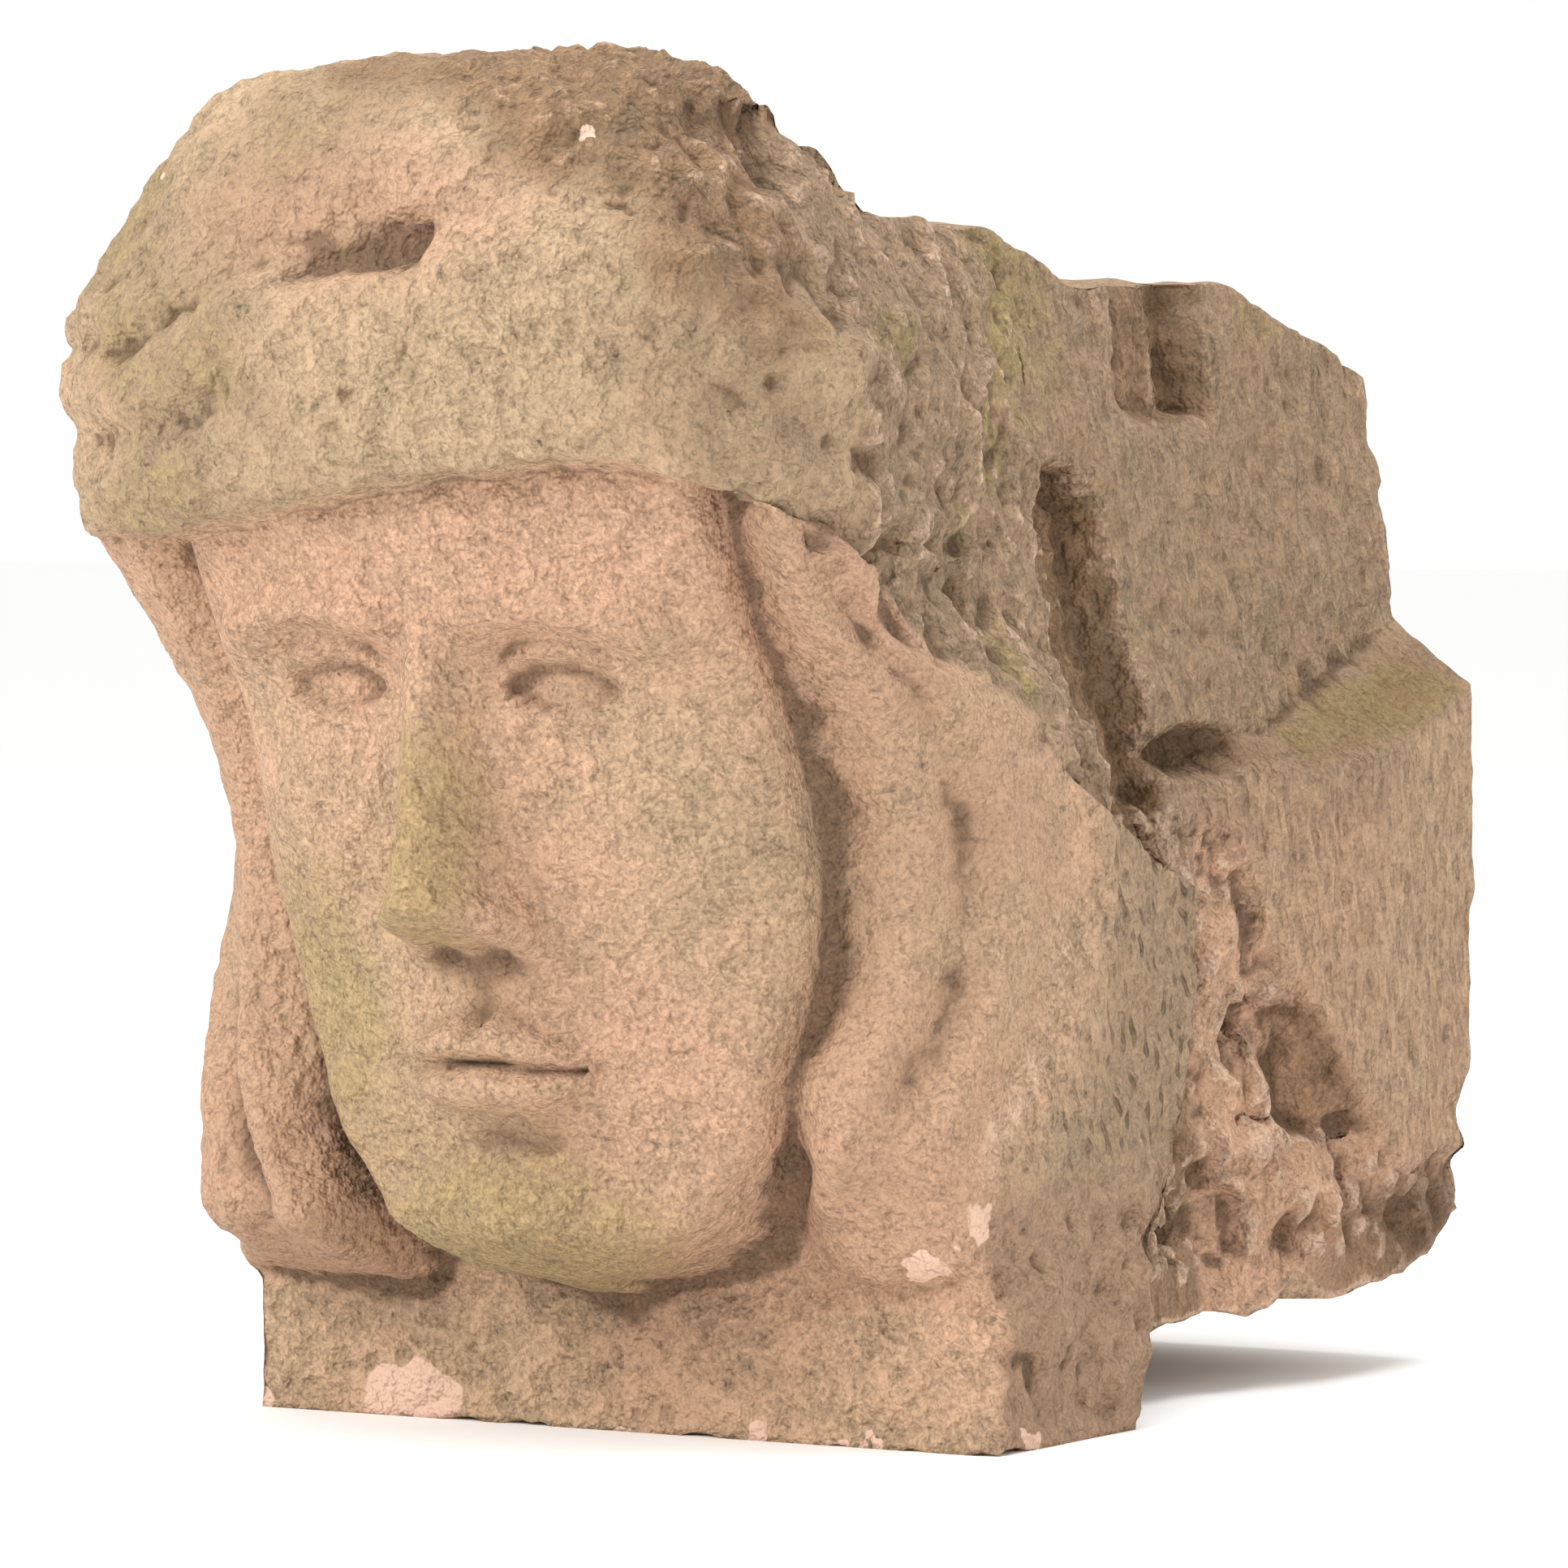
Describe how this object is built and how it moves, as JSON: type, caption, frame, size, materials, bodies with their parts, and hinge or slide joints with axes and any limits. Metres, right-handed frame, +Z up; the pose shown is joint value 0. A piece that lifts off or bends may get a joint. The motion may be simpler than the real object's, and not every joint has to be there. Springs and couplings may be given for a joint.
{
  "type": "carved stone capstone",
  "caption": "Weathered sandstone capstone: a larger-than-life head in a rolled cap with long hair locks, carved on the front of a rough block that tails back into a wall",
  "frame": {"origin": "middle of the bounding box on the plane of the underside, which is the bed the stone stands on", "axes": "+Z up, the carved face looks to -Y, the tail that is built into the wall runs to +Y, the side that shows the channel and the notch faces +X"},
  "size_m": [0.3096, 0.497, 0.449],
  "materials": {
    "sandstone": "weathered, rough hewn, lightly mossed"
  },
  "bodies": {
    "root": {"capstone": "sandstone"}
  },
  "joints": []
}
